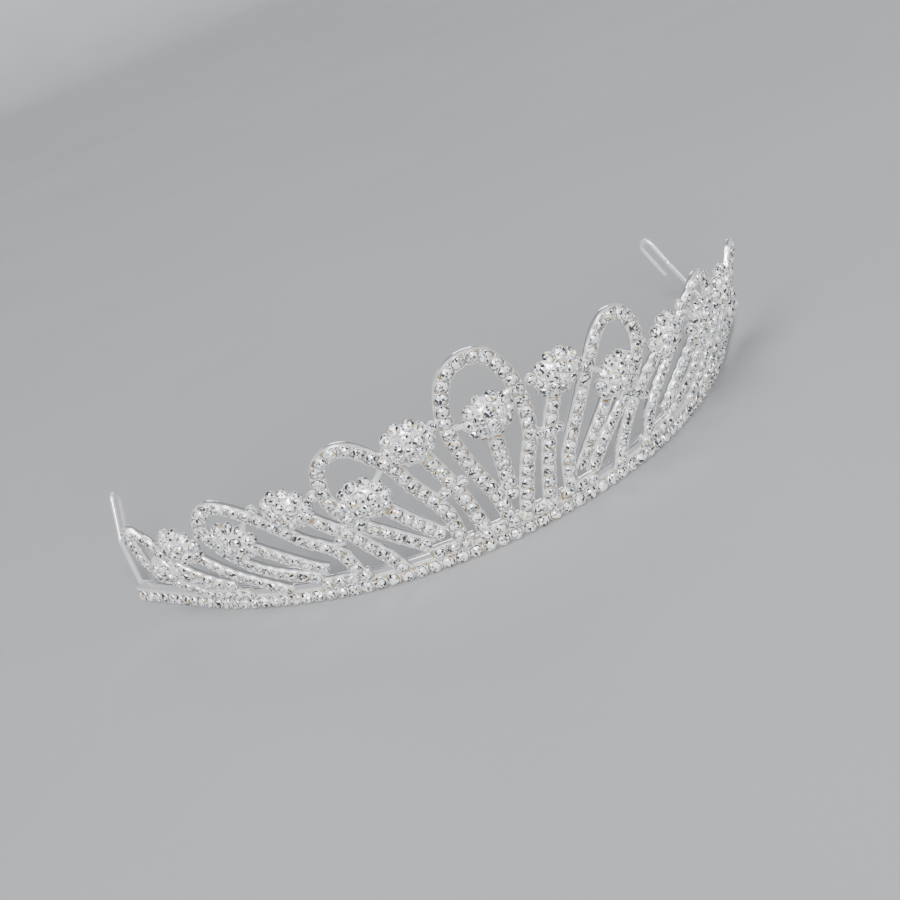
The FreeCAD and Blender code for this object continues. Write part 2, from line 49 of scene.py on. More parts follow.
# Sizes of the design, in millimetres, as the CAD part has them.
FLARE = math.radians(21.8)
FRONT_RADIUS, FRONT_TURN = 57.6, math.radians(36.8)
SIDE_RADIUS, SIDE_TURN = 91.9, math.radians(22.2)
TAIL = 23.0
FRONT_RUN, SIDE_RUN = FRONT_RADIUS * FRONT_TURN, SIDE_RADIUS * SIDE_TURN
HALF_RUN = FRONT_RUN + SIDE_RUN + TAIL
RAIL_HEIGHT, RAIL_DEPTH, RAIL_LIP, RAIL_GROOVE, RAIL_PITCH = 3.3, 2.2, 0.2, 2.45, 2.65
BAND_GAP, BAND_WIDTH, BAND_BOTTOM, BAND_TOP, BAND_GROOVE = 1.2, 1.6, 1.1, 2.8, 0.8
STRIP_WIDTH, STRIP_DEPTH, STONE_PITCH = 3.0, 1.2, 2.5
DOME_RADIUS, END_DOME_RADIUS, DOME_FRONT = 4.85, 3.4, 1.4
STUD_RADIUS, TIE_RADIUS, WIRE_RADIUS, WIRE_BEND, WIRE_LEAD = 1.1, 0.55, 0.6, 1.6, 5.0
RAIL_MARGIN = 1.4
LOOSEST_ROW = 1.06  # the most that a row may open its pitch to fill its strip

# Sizes, in millimetres, that only the visible pieces have.
STRIP_MARGIN = 1.25
CUP_RADIUS, CUP_DEPTH = 1.37, 0.95
RAIL_SAMPLES, BAND_SAMPLES = 320, 240

# How far the strips that cross stand behind the arches, so that no two of their faces coincide.
SPRAY_LIFT, DROP_LIFT, FOOT_LIFT = -0.05, -0.1, -0.15

# The band's own origin, under the front of the rail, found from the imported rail's box.
BAND_ORIGIN = Vector((0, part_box("front_rail")[0].y / MM, 0))

# The pattern, as (distance from the middle along the band, rise) along the middle of each strip, as the
# CAD part has it except that the centre drop's stem starts lower. The two sides differ a little.
CENTRE_ARCH = [(-1.7, 5.6), (-2.4, 11.3), (-3.8, 16.2), (-5.0, 21), (-5.9, 25.5), (-6.2, 30.1), (-5.7, 35.3),
               (-4.2, 40.1), (-1.5, 42.1), (1.6, 41.1), (3.7, 36.7), (5.0, 31.9), (5.5, 26), (5.3, 20.8),
               (4.0, 16.3), (2.8, 11.3), (1.7, 5.6)]
ARCHES = {
    "inner_arch_left": [(10.7, 5.6), (10.9, 11.7), (12.2, 16.3), (14.2, 21.5), (15.6, 26.5), (17.5, 30),
                        (19.6, 33.1), (22, 34.1), (24.6, 32.5), (26.2, 29.1), (26.9, 24.9), (26.3, 20.5),
                        (24.3, 16.3), (21.4, 12.8), (18.8, 9.8), (15.9, 6.5)],
    "inner_arch_right": [(10.6, 5.6), (10.9, 11.7), (12.2, 16.1), (14, 20.7), (15.8, 25.5), (17.4, 29.8),
                         (18.9, 33.7), (21, 35.9), (23.6, 35.1), (25.7, 32.3), (27, 28.5), (27.2, 23.9),
                         (25.2, 19), (22, 15.4), (19, 11.9), (16.5, 8.3), (15.3, 6.3)],
    "outer_arch_left": [(29.8, 5.6), (30.2, 10.2), (31.8, 13.3), (34.9, 16.3), (37.5, 20.4), (40.2, 24.1),
                        (43.2, 27.1), (46.2, 28.7), (49.2, 27.3), (51.6, 24.1), (52.1, 19.9), (50.6, 15.2),
                        (47.6, 11.4), (43.3, 8.8), (36.8, 6.3)],
    "outer_arch_right": [(29.8, 5.6), (30.4, 10.2), (32, 13.5), (35, 17.1), (38, 21.7), (40.4, 24.7),
                         (42.9, 27.3), (45.8, 29.3), (49.2, 28.1), (51.8, 24.9), (52.8, 20.9), (51.2, 15.7),
                         (47.8, 11.7), (43.3, 8.9), (36.8, 6.3)],
    "end_arch_left": [(56.5, 6.9), (61, 8.9), (65.2, 12.2), (67.4, 16.5), (67.8, 20.7), (69.6, 24.1),
                      (72.4, 22.7), (74.6, 18.7), (76.6, 14.6), (76.6, 11.2), (73.8, 8.5), (70, 6.8),
                      (66.8, 6)],
    "end_arch_right": [(56.5, 6.9), (61, 8.9), (65.4, 12.2), (68, 16.5), (68.6, 21.3), (70.6, 25.3),
                       (73.6, 23.7), (75.8, 18.9), (77.2, 14.6), (76.6, 11.2), (73.8, 8.5), (70, 6.8),
                       (66.8, 6)],
}
STEMS = {
    "centre_drop": [(0, 9.6), (0, 17), (0, 24.8)],
    "first_spray_left": [(6, 2.8), (6.9, 10), (8.2, 17), (9.6, 22.6), (10.9, 27)],
    "first_spray_right": [(6, 2.8), (6.8, 10), (8, 17), (9.4, 22.8), (10.7, 27.2)],
    "inner_drop_left": [(14.2, 9.6), (15.5, 11.8), (17.2, 14.4), (19.4, 18.4)],
    "inner_drop_right": [(14.2, 9.8), (15.6, 12.2), (17.3, 14.9), (19.9, 19.1)],
    "second_spray_left": [(22, 2.8), (23.4, 7.2), (25.2, 11), (27, 15.2), (29.3, 18), (31.2, 20.8)],
    "second_spray_right": [(21.6, 2.8), (22.6, 7.2), (23.8, 11), (25.9, 14.9), (28.7, 17.9), (32.1, 20.6)],
    "outer_drop_left": [(36.8, 9.3), (39.4, 11.6), (41.8, 13.8), (45, 16.9)],
    "outer_drop_right": [(36.8, 9.3), (39.4, 11.6), (42, 13.8), (45.7, 16.6)],
    "third_spray_left": [(45, 4), (50, 7.4), (54.5, 10.6), (58.2, 15.2)],
    "third_spray_right": [(45, 4), (50, 7.4), (55, 10.8), (59.3, 15.8)],
    "end_drop_left": [(64.4, 8.4), (66, 9.4), (68.8, 11)],
    "end_drop_right": [(64.4, 8.4), (66, 9.4), (69, 11)],
}
CLUSTERS = {
    "centre_drop": (0, 28.8), "first_spray_left": (12, 30.1), "first_spray_right": (11.7, 30.5),
    "inner_drop_left": (21.7, 21.7), "inner_drop_right": (22.5, 22.7), "second_spray_left": (33.8, 24.3),
    "second_spray_right": (35.2, 23.2), "outer_drop_left": (47.7, 19.2), "outer_drop_right": (49, 19),
    "third_spray_left": (60.8, 19.2), "third_spray_right": (62.2, 20), "end_drop_left": (71.6, 12.6),
    "end_drop_right": (72.2, 12.9),
}
FEET = {"centre": (0, 7.75), "inner": (12.6, 4.15), "outer": (33.2, 5.2), "end": (60.8, 6.5)}
FOOT_RISE = 4.3
STUDS = {
    "left": [(8, 31.6), (15, 27.8), (6.9, 17.9), (10.2, 16.8), (28.6, 25.9), (26.2, 17.7), (29.2, 14.1),
             (39.3, 26.1), (53.6, 22)],
    "right": [(7.4, 31.9), (15.4, 30), (6.8, 20.4), (10.3, 19.5), (28.6, 25.9), (25.7, 17.1), (29, 14.5),
              (40.2, 26.8), (54.4, 22.6)],
}
TIES = [((-3.2, 28.6), (-5.4, 29.4)), ((2.5, 31.3), (4.8, 32.2)), ((-19.4, 24.1), (-16.8, 27.4)),
        ((20.2, 24.9), (17.2, 27.8)), ((-44.6, 21.2), (-42.0, 24.1)), ((45.8, 21.4), (42.6, 25.2))]
TIE_PROUD, TIE_REACH = -0.8, 0.5
LOOP_FOOT = {"left": (71.0, 88.0, 4.2), "right": (71.0, 88.0, 9.0)}
LOOP_TIP = {"left": (68.3, 89.5, 15.3), "right": (68.1, 89.5, 17.0)}
LOOP_SPREAD = (-0.9, 3.1, -2.4)
SIDES = {"left": -1, "right": 1}

# A cluster's rings of stones, as (stones in the ring, degrees that they lean from the cluster's middle).
BIG_RINGS = [(1, 0), (6, 27), (10, 54)]
SMALL_RINGS = [(1, 0), (6, 38)]


# ---------------------------------------------------------------- places on the band

def on_band(run):
    """Plan point of the band's bottom front edge and its heading there."""
    along = abs(run)
    turn = min(along / FRONT_RADIUS, FRONT_TURN)
    x, y = FRONT_RADIUS * math.sin(turn), FRONT_RADIUS * (1 - math.cos(turn))
    if along > FRONT_RUN:
        turn = FRONT_TURN + min((along - FRONT_RUN) / SIDE_RADIUS, SIDE_TURN)
        x += SIDE_RADIUS * (math.sin(turn) - math.sin(FRONT_TURN))
        y += SIDE_RADIUS * (math.cos(FRONT_TURN) - math.cos(turn))
    tail = max(0.0, along - FRONT_RUN - SIDE_RUN)
    x, y = x + tail * math.cos(turn), y + tail * math.sin(turn)
    return (x, y, turn) if run >= 0 else (-x, y, -turn)


def beside_band(run, out, height):
    """A point that far out from the band's bottom front edge, level, and that high."""
    x, y, turn = on_band(run)
    return BAND_ORIGIN + Vector((x + out * math.sin(turn), y - out * math.cos(turn), height))


def outward(run):
    """Unit normal of the flared face."""
    turn, level = on_band(run)[2], math.cos(FLARE)
    return Vector((math.sin(turn) * level, -math.cos(turn) * level, -math.sin(FLARE)))


def on_face(run, rise, proud=0.0):
    """The point at that run and rise, standing proud of the flared face."""
    lean = rise * math.sin(FLARE)
    return beside_band(run, lean, rise * math.cos(FLARE)) + outward(run) * proud


def smooth(points, steps=12):
    """A smooth line (Catmull-Rom) through the given points."""
    first = tuple(2 * a - b for a, b in zip(points[0], points[1]))
    last = tuple(2 * a - b for a, b in zip(points[-1], points[-2]))
    guide = [first, *points, last]
    line = []
    for p, q, r, w in zip(guide, guide[1:], guide[2:], guide[3:]):
        for step in range(steps):
            u = step / steps
            line.append(tuple(
                0.5 * (2 * b + (c - a) * u + (2 * a - 5 * b + 4 * c - d) * u**2
                       + (3 * b - a - 3 * c + d) * u**3)
                for a, b, c, d in zip(p, q, r, w)))
    return line + [tuple(points[-1])]


def side_of(name):
    """-1 for a piece of the left side and 1 for any other."""
    return -1 if name.endswith("left") else 1


def mirrored(points, side):
    return [(side * run, rise) for run, rise in points]


class Route:
    """A line on the face that can be asked for its frame at any distance along it."""

    PROBE = 0.15  # how far ahead and behind the line's heading is read
    STEP_BACK = 0.05

    def __init__(self, line):
        self.line = line
        points = [on_face(run, rise) for run, rise in line]
        self.reach = [0.0]
        for a, b in zip(points, points[1:]):
            self.reach.append(self.reach[-1] + (b - a).length)
        self.length = self.reach[-1]

    def place(self, distance):
        distance = min(max(distance, 0.0), self.length)
        i = next((n for n in range(1, len(self.reach)) if self.reach[n] >= distance), len(self.reach) - 1)
        u = (distance - self.reach[i - 1]) / (self.reach[i] - self.reach[i - 1])
        (run_a, rise_a), (run_b, rise_b) = self.line[i - 1], self.line[i]
        return run_a + u * (run_b - run_a), rise_a + u * (rise_b - rise_a)

    def frame(self, distance):
        """Point on the face, the way across the line, and the face's normal."""
        run, rise = self.place(distance)
        ahead = on_face(*self.place(distance + self.PROBE))
        behind = on_face(*self.place(distance - self.PROBE))
        normal = outward(run)
        return on_face(run, rise), normal.cross(ahead - behind).normalized(), normal

    def stone_distances(self, pitch, margin):
        """Distances of a row of stones centred on the line, and their spacing."""
        usable = self.length - 2 * margin
        count = max(1, int(usable / pitch) + 1)
        spacing = min(pitch * LOOSEST_ROW, usable / max(1, count - 1))
        return [self.length / 2 + (k - (count - 1) / 2) * spacing for k in range(count)], spacing

    def stones_up_to(self, pitch, margin, centre, clear):
        """Distances of a row that ends just outside a cluster, and their spacing."""
        last = self.length
        while last > margin and (self.frame(last)[0] - centre).length < clear:
            last -= self.STEP_BACK
        count = max(1, round((last - margin) / pitch) + 1)
        spacing = (last - margin) / max(1, count - 1)
        return [margin + k * spacing for k in range(count)], spacing


# ---------------------------------------------------------------- mesh building

# The metal finishes, by their places in METALS.
CAST, GLUED, SHINY = 0, 1, 2
SHARP_ANGLE = math.radians(38)
UP = Vector((0, 0, 1))


class Build:
    """Collects the vertices and faces of one piece, in millimetres."""

    def __init__(self):
        self.points, self.faces, self.finishes = [], [], []

    def add(self, points, faces, finish=0):
        start = len(self.points)
        self.points += points
        self.faces += [[start + i for i in face] for face in faces]
        self.finishes += [finish] * len(faces)

    def loft(self, rings, finishes=None, caps=(CAST, CAST), closed=False):
        """Skins equal closed rings; finishes has one entry per side of the ring, caps one per end face."""
        count = len(rings[0])
        start = len(self.points)
        for ring in rings:
            self.points += ring
        pairs = len(rings) if closed else len(rings) - 1
        for i in range(pairs):
            j = (i + 1) % len(rings)
            for k in range(count):
                n = (k + 1) % count
                self.faces.append([start + i * count + k, start + i * count + n,
                                   start + j * count + n, start + j * count + k])
                self.finishes.append(finishes[k] if finishes else CAST)
        if not closed:
            self.faces.append([start + k for k in reversed(range(count))])
            self.faces.append([start + (len(rings) - 1) * count + k for k in range(count)])
            self.finishes += list(caps)

    def finish_piece(self, name, materials, slot, replaced, flat=False):
        """Makes the mesh object, parents it under the root empty and hides the CAD node that it stands for.
        """
        mesh = bpy.data.meshes.new(name)
        mesh.from_pydata([p * MM for p in self.points], [], self.faces)
        for material in materials:
            mesh.materials.append(material)
        mesh.polygons.foreach_set("material_index", self.finishes)
        mesh.update()
        mesh.validate()
        piece = bpy.data.objects.new(name, mesh)
        bpy.context.scene.collection.objects.link(piece)
        recalculate(mesh)
        if not flat:
            mesh.polygons.foreach_set("use_smooth", [True] * len(mesh.polygons))
            mesh.set_sharp_from_angle(angle=SHARP_ANGLE)
        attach(piece, "root")
        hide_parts(replaced)


def recalculate(mesh):
    """Points every face outward."""
    work = bmesh.new()
    work.from_mesh(mesh)
    bmesh.ops.recalc_face_normals(work, faces=work.faces)
    work.to_mesh(mesh)
    work.free()


def axes_for(normal, hint):
    """Two unit directions square to the normal, the first as near the hint as it can be."""
    first = (hint - normal * hint.dot(normal)).normalized()
    return first, normal.cross(first)


def turned(rings, centre, first, second, normal, count, spin=0.0):
    """Rings of points from (radius, height) pairs about a centre."""
    found = []
    for radius, height in rings:
        ring = []
        for k in range(count):
            angle = 2 * math.pi * k / count + spin
            spoke = first * math.cos(angle) + second * math.sin(angle)
            ring.append(centre + spoke * radius + normal * height)
        found.append(ring)
    return found


def add_ring(build, profile, centre, normal, hint, count):
    """Turns a closed (radius, height) profile round the normal."""
    first, second = axes_for(normal, hint)
    rings = turned(profile, centre, first, second, normal, count)
    build.loft([[ring[k] for ring in rings] for k in range(count)], closed=True)


def add_bead(build, centre, normal, hint, radius):
    """A small round grain of metal that holds a stone."""
    first, second = axes_for(normal, hint)
    steps = [math.radians(a) for a in (-35, 0, 35, 68)]
    rings = [(radius * math.cos(a), radius * math.sin(a)) for a in steps]
    build.loft(turned(rings, centre, first, second, normal, 7))


BEZEL_RADIUS, BEZEL_WALL = 1.19, 0.09


def add_bezel(build, centre, normal, hint, low, high):
    """A thin rounded ring of metal round a stone."""
    radius, wall = BEZEL_RADIUS, BEZEL_WALL
    profile = [(radius + wall, low), (radius + wall * 0.85, high - wall * 0.5), (radius + wall * 0.45, high),
               (radius + 0.02, high - wall * 0.3), (radius, low)]
    add_ring(build, profile, centre, normal, hint, 16)


# One faceted stone: (radius, height) of its rings from the table down to the skirt that sits in the metal.
TABLE = (0.56, 0.46)
STAR = (0.86, 0.34)
GIRDLE_TOP = (1.10, 0.08)
GIRDLE = (1.13, 0.0)
SKIRT = (1.10, -0.4)
STONE_TILT = 0.06
# Colours painted on the stones' facets: painted highlights (bright, pale) and painted dark reflections
# (grey, dark) stand in for the light and shade a foil-backed stone reflects and refracts; golden is partly
# the foil's own colour and partly painted reflection.
TONES = {"bright": (0.97, 0.97, 0.98), "pale": (0.70, 0.71, 0.73), "grey": (0.27, 0.28, 0.30),
         "dark": (0.03, 0.03, 0.035), "golden": (0.62, 0.45, 0.19)}
PAINTED_TONE_SHARES = (48, 12, 17, 19, 4)
# The darkest tone, also painted on every stone's girdle and skirt as painted shade in the gap round the
# stone.
PAINTED_SHADE_TONE = list(TONES).index("dark")


def any_painted_tone():
    return CHANCE.choices(range(len(TONES)), PAINTED_TONE_SHARES)[0]


def add_stone(build, centre, normal, hint, scale=1.0):
    """A foil-backed brilliant: table, star and kite facets, each painted with one tone of reflected light or
    shade (a painted glint or a painted dark reflection) in place of real refraction.
    """
    tilt = Vector((CHANCE.uniform(-1, 1), CHANCE.uniform(-1, 1), CHANCE.uniform(-1, 1))) * STONE_TILT
    normal = (normal + tilt).normalized()
    first, second = axes_for(normal, hint)
    spin = CHANCE.uniform(0, math.pi / 4)

    def ring(size, count, turn=0.0):
        profile = [(size[0] * scale, size[1] * scale)]
        return turned(profile, centre, first, second, normal, count, spin + turn)[0]

    few, many = 8, 16
    points = ring(TABLE, few) + ring(STAR, few, math.pi / 8)
    points += ring(GIRDLE_TOP, many) + ring(GIRDLE, many) + ring(SKIRT, many)
    points.append(centre + normal * TABLE[1] * scale)
    # Where each ring starts in the list of points, and the table's middle.
    star, top, girdle, skirt, middle = 8, 16, 32, 48, 64
    faces, finishes = [], []
    for k in range(few):
        n = (k + 1) % few
        upper, lower = top + 2 * k, top + (2 * k + 2) % many
        faces += [[k, n, middle], [k, star + k, n], [k, star + (k - 1) % few, upper, star + k],
                  [star + k, upper, upper + 1], [star + k, upper + 1, lower]]
        # Each facet gets a random painted tone of reflected light or shade.
        finishes += [any_painted_tone() for facet in range(5)]
    # Girdle and skirt get the dark tone: painted shade between the stone and its bezel.
    for k in range(many):
        n = (k + 1) % many
        faces += [[top + k, top + n, girdle + n, girdle + k], [girdle + k, girdle + n, skirt + n, skirt + k]]
        finishes += [PAINTED_SHADE_TONE, PAINTED_SHADE_TONE]
    faces.append([skirt + k for k in range(many)])
    finishes.append(PAINTED_SHADE_TONE)
    build.add(points, faces)
    build.finishes[-len(faces):] = finishes


# ---------------------------------------------------------------- settings

def strip_profile(swell):
    """Corners (across, proud) and finishes of a channel strip; swell 1 is beside a stone, 0 between two."""
    half, back = STRIP_WIDTH / 2, -STRIP_DEPTH
    rim = half - 0.2 * (1 - swell)
    inner = rim - 0.14
    right = [(half - 0.3, back), (half - 0.06, back + 0.08), (half, back + 0.3), (half, -0.55),
             (rim + 0.01, -0.24), (rim - 0.05, -0.12), (inner + 0.04, -0.12), (inner, -0.22),
             (inner - 0.02, -0.7)]
    left = [(-across, proud) for across, proud in reversed(right)]
    count = len(right)
    finishes = [CAST] * (2 * count)
    channel_floor = count - 1
    finishes[channel_floor] = GLUED
    back_and_walls = (0, 1, 2, count + 5, count + 6, count + 7, 2 * count - 1)
    for k in back_and_walls:
        finishes[k] = SHINY
    return right + left, finishes


STONE_SINK, GRAIN_OUT = 0.08, 1.05


def set_row(metal, gems, route, stones, spacing, lift):
    """Stones along a route, each in a thin bezel, with a pair of grains between neighbours."""
    for distance in stones:
        point, across, normal = route.frame(distance)
        centre = point + normal * (lift - STONE_SINK + CHANCE.uniform(-0.03, 0.03))
        add_stone(gems, centre, normal, across)
        add_bezel(metal, centre, normal, across, -0.6, 0.06)
    for distance in [d + spacing / 2 for d in stones[:-1]]:
        point, across, normal = route.frame(distance)
        for side in (-1, 1):
            grain = point + across * side * GRAIN_OUT + normal * (lift - STONE_SINK)
            add_bead(metal, grain, normal, across, CHANCE.uniform(0.16, 0.22))


def add_strip(metal, gems, points, lift=0.0, dome=None):
    """A channel strip with scalloped rims and its row of set stones; the dome, if any, is at its far end."""
    route = Route(smooth(points))
    if dome:
        stones, spacing = route.stones_up_to(STONE_PITCH, STRIP_MARGIN, *dome)
    else:
        stones, spacing = route.stone_distances(STONE_PITCH, STRIP_MARGIN)
    samples = max(8, int(route.length / spacing * 8))
    rings = []
    for k in range(samples + 1):
        distance = route.length * k / samples
        swell = 0.5 + 0.5 * math.cos(2 * math.pi * (distance - stones[0]) / spacing)
        point, across, normal = route.frame(distance)
        corners, finishes = strip_profile(swell)
        rings.append([point + across * a + normal * (p + lift) for a, p in corners])
    metal.loft(rings, finishes)
    set_row(metal, gems, route, stones, spacing, lift)


def dome_size(name):
    return END_DOME_RADIUS if name.startswith("end_drop") else DOME_RADIUS


def leaning(first, second, normal, tilt, spin):
    """The direction that leans that many degrees from the normal, at that angle round it."""
    lean = math.radians(tilt)
    return (first * math.cos(spin) + second * math.sin(spin)) * math.sin(lean) + normal * math.cos(lean)


# How far a cluster's metal ball, its stones and its grains stand out from the CAD dome's radius.
SHELL_OUT, STONE_OUT, BEAD_OUT = 0.2, 0.25, 0.26
GRAIN_RINGS = [(6, 15.5), (16, 41)]
OUTER_TILT, OUTER_SPIN = 50, 0.3


def add_cluster(metal, gems, run, rise, radius):
    """A domed seat covered with stones in bezels, with grains in the gaps of a big one."""
    normal = outward(run)
    centre = on_face(run, rise, DOME_FRONT - radius)
    first, second = axes_for(normal, UP)
    hint = first + second * 0.3
    back = radius - DOME_FRONT - STRIP_DEPTH
    crown, lowest = 2, math.degrees(math.acos((back + 0.35) / radius))
    shell = radius + SHELL_OUT
    steps = [math.radians(crown + (lowest - crown) * k / 10) for k in range(11)]
    rings = [(shell * math.sin(a), shell * math.cos(a)) for a in steps]
    rim = rings[-1][0]
    rings += [(rim, back + 0.15), (rim - 0.12, back), (rim - 1.0, back)]
    metal.loft(turned(rings, centre, first, second, normal, 40))
    for count, tilt in BIG_RINGS if radius == DOME_RADIUS else SMALL_RINGS:
        for k in range(count):
            spin = 2 * math.pi * k / count + (OUTER_SPIN if tilt > OUTER_TILT else 0)
            way = leaning(first, second, normal, tilt, spin)
            seat = centre + way * (radius + STONE_OUT)
            add_stone(gems, seat, way, hint)
            add_bezel(metal, seat, way, hint, -0.75, 0.08)
    for count, tilt in GRAIN_RINGS if radius == DOME_RADIUS else []:
        for k in range(count):
            way = leaning(first, second, normal, tilt, 2 * math.pi * (k + 0.5) / count)
            add_bead(metal, centre + way * (radius + BEAD_OUT), way, hint, 0.24)


# ---------------------------------------------------------------- materials

def new_material(name):
    material = bpy.data.materials.new(name)
    material.use_nodes = True
    nodes = material.node_tree.nodes
    return material, nodes, material.node_tree.links, nodes["Principled BSDF"]


def noise(nodes, links, coordinates, scale, detail=3.0):
    texture = nodes.new("ShaderNodeTexNoise")
    texture.inputs["Scale"].default_value = scale
    texture.inputs["Detail"].default_value = detail
    links.new(coordinates.outputs["Object"], texture.inputs["Vector"])
    return texture


def ramp(nodes, links, source, stops):
    mix = nodes.new("ShaderNodeValToRGB")
    elements = mix.color_ramp.elements
    while len(elements) < len(stops):
        elements.new(0.5)
    for element, (position, colour) in zip(elements, stops):
        element.position = position
        element.color = (*colour, 1)
    links.new(source.outputs["Fac"], mix.inputs["Fac"])
    return mix


def spread(nodes, links, source, low, high):
    """Maps a noise's middle range onto low to high."""
    reach = nodes.new("ShaderNodeMapRange")
    reach.inputs["From Min"].default_value = 0.3
    reach.inputs["From Max"].default_value = 0.7
    reach.inputs["To Min"].default_value = low
    reach.inputs["To Max"].default_value = high
    links.new(source.outputs["Fac"], reach.inputs["Value"])
    return reach


DRIFT_SCALE, RELIEF_DEPTH = 420.0, 0.0002


def metal_material(name, stops, rough, grain_scale, bump, metallic):
    """Plated metal: colour drifts over the ramp, and a fine cast grain breaks up the shine."""
    material, nodes, links, shader = new_material(name)
    coordinates = nodes.new("ShaderNodeTexCoord")
    drift = noise(nodes, links, coordinates, DRIFT_SCALE)
    links.new(ramp(nodes, links, drift, stops).outputs["Color"], shader.inputs["Base Color"])
    grain = noise(nodes, links, coordinates, grain_scale, 5.0)
    links.new(spread(nodes, links, grain, *rough).outputs["Result"], shader.inputs["Roughness"])
    relief = nodes.new("ShaderNodeBump")
    relief.inputs["Strength"].default_value = bump
    relief.inputs["Distance"].default_value = RELIEF_DEPTH
    links.new(grain.outputs["Fac"], relief.inputs["Height"])
    links.new(relief.outputs["Normal"], shader.inputs["Normal"])
    shader.inputs["Metallic"].default_value = metallic
    return material


def stone_material(name, tone):
    """One painted tone of reflected light or shade for a stone's facets (a painted glint or a painted dark
    reflection), under a clear polished glass surface.
    """
    shaded = tuple(0.93 * part for part in tone)
    material = metal_material("stone_" + name, [(0.35, tone), (0.65, shaded)], rough=(0.15, 0.3),
                              grain_scale=900.0, bump=0.0, metallic=0.3)
    shader = material.node_tree.nodes["Principled BSDF"]
    shader.inputs["Coat Weight"].default_value = 1.0
    shader.inputs["Coat Roughness"].default_value = 0.02
    shader.inputs["Coat IOR"].default_value = 1.56
    return material


SILVER = metal_material(
    "silver_plate", [(0.3, (0.96, 0.96, 0.97)), (0.62, (0.93, 0.925, 0.915)), (0.8, (0.80, 0.76, 0.68))],
    rough=(0.12, 0.28), grain_scale=2600.0, bump=0.1, metallic=0.6)
GLUE = metal_material(
    "glue_and_foil", [(0.35, (0.40, 0.36, 0.28)), (0.5, (0.40, 0.29, 0.13)), (0.62, (0.26, 0.16, 0.06))],
    rough=(0.3, 0.5), grain_scale=1900.0, bump=0.3, metallic=0.4)
POLISHED = metal_material(
    "polished_plate", [(0.3, (0.94, 0.94, 0.95)), (0.7, (0.84, 0.84, 0.86))],
    rough=(0.06, 0.2), grain_scale=700.0, bump=0.35, metallic=0.9)
WIRE = metal_material(
    "wire_plate", [(0.3, (0.96, 0.96, 0.97)), (0.7, (0.90, 0.90, 0.91))],
    rough=(0.12, 0.22), grain_scale=3200.0, bump=0.06, metallic=0.55)
METALS = [SILVER, GLUE, POLISHED]
STONES = [stone_material(name, tone) for name, tone in TONES.items()]


# ---------------------------------------------------------------- pieces

def finish_pair(name, metal, gems):
    """The metal and the stones of one CAD node and its stone node."""
    metal.finish_piece(name + "_metal", METALS, "silver_plate", name)
    gems.finish_piece(name + "_gems", STONES, "rhinestone", name + "_stones", flat=True)


def add_cup(build, centre, normal, radius, depth):
    """A round cup of the rail: a wall that runs back into the rail and a thin rolled lip round the stone."""
    profile = [(radius - 0.12, -depth), (radius, -depth + 0.15), (radius, -0.2), (radius - 0.08, -0.03),
               (radius - 0.15, 0.02), (BEZEL_RADIUS + 0.03, -0.04), (BEZEL_RADIUS, -0.65)]
    add_ring(build, profile, centre, normal, UP, 20)


def band_runs(samples):
    return [HALF_RUN * (2 * k / samples - 1) for k in range(samples + 1)]


def add_band(build, outline, samples, finishes=None, caps=(CAST, CAST)):
    """Sweeps an (out, height) outline along the whole band."""
    rings = [[beside_band(run, out, high) for out, high in outline] for run in band_runs(samples)]
    build.loft(rings, finishes, caps)


def make_rail():
    """An upright bar of round cups, whose lower edge is scalloped, under a thin plain top edge."""
    middle = RAIL_LIP + RAIL_GROOVE / 2
    line = [beside_band(run, 0, middle) for run in band_runs(400)]
    length = sum((b - a).length for a, b in zip(line, line[1:]))
    usable = length - 2 * RAIL_MARGIN
    count = int(usable / RAIL_PITCH) + 1
    spacing = min(RAIL_PITCH * LOOSEST_ROW, usable / (count - 1))
    metal, gems = Build(), Build()
    for k in range(count):
        run = HALF_RUN * 2 * (k - (count - 1) / 2) * spacing / length
        turn = on_band(run)[2]
        normal = Vector((math.sin(turn), -math.cos(turn), CHANCE.uniform(-0.04, 0.04))).normalized()
        centre = beside_band(run, -0.03, middle)
        add_stone(gems, centre, normal, UP)
        add_cup(metal, centre, normal, CUP_RADIUS, CUP_DEPTH)
    outline = [(-1.5, 0.0), (-1.3, 0.12), (-0.75, 0.4), (-0.6, 0.6), (-0.6, 2.45), (-0.16, 2.62),
               (-0.06, 2.72), (-0.06, RAIL_HEIGHT - 0.14), (-0.2, RAIL_HEIGHT),
               (-RAIL_DEPTH + 0.15, RAIL_HEIGHT), (-RAIL_DEPTH, RAIL_HEIGHT - 0.15),
               (-RAIL_DEPTH, 0.15), (-RAIL_DEPTH + 0.15, 0.0)]
    behind_cups, top_and_back = (2, 3, 4), (8, 9, 10, 11)
    finishes = [CAST] * len(outline)
    for k in behind_cups:
        finishes[k] = GLUED
    for k in top_and_back:
        finishes[k] = SHINY
    add_band(metal, outline, RAIL_SAMPLES, finishes, caps=(GLUED, GLUED))
    metal.finish_piece("front_rail_metal", METALS, "silver_plate", "front_rail")
    gems.finish_piece("rail_gems", STONES, "rhinestone", "rail_stones", flat=True)


def make_inner_band():
    """The thin plain band behind the rail, grooved along its top."""
    near = -(RAIL_DEPTH + BAND_GAP)
    far, edge = near - BAND_WIDTH, 0.14
    wall = (BAND_WIDTH - BAND_GROOVE) / 2
    floor = BAND_TOP - BAND_GROOVE / 2
    outline = [(near - edge, BAND_BOTTOM), (near, BAND_BOTTOM + edge), (near, BAND_TOP - edge),
               (near - edge, BAND_TOP), (near - wall + 0.08, BAND_TOP), (near - wall, BAND_TOP - 0.1),
               (near - wall, floor), (far + wall, floor), (far + wall, BAND_TOP - 0.1),
               (far + wall - 0.08, BAND_TOP), (far + edge, BAND_TOP), (far, BAND_TOP - edge),
               (far, BAND_BOTTOM + edge), (far + edge, BAND_BOTTOM)]
    metal = Build()
    add_band(metal, outline, BAND_SAMPLES)
    metal.finish_piece("inner_band_metal", [POLISHED], "silver_plate", "inner_band")


BEND_SHARE = 0.45  # the most of a straight run that one bend may use


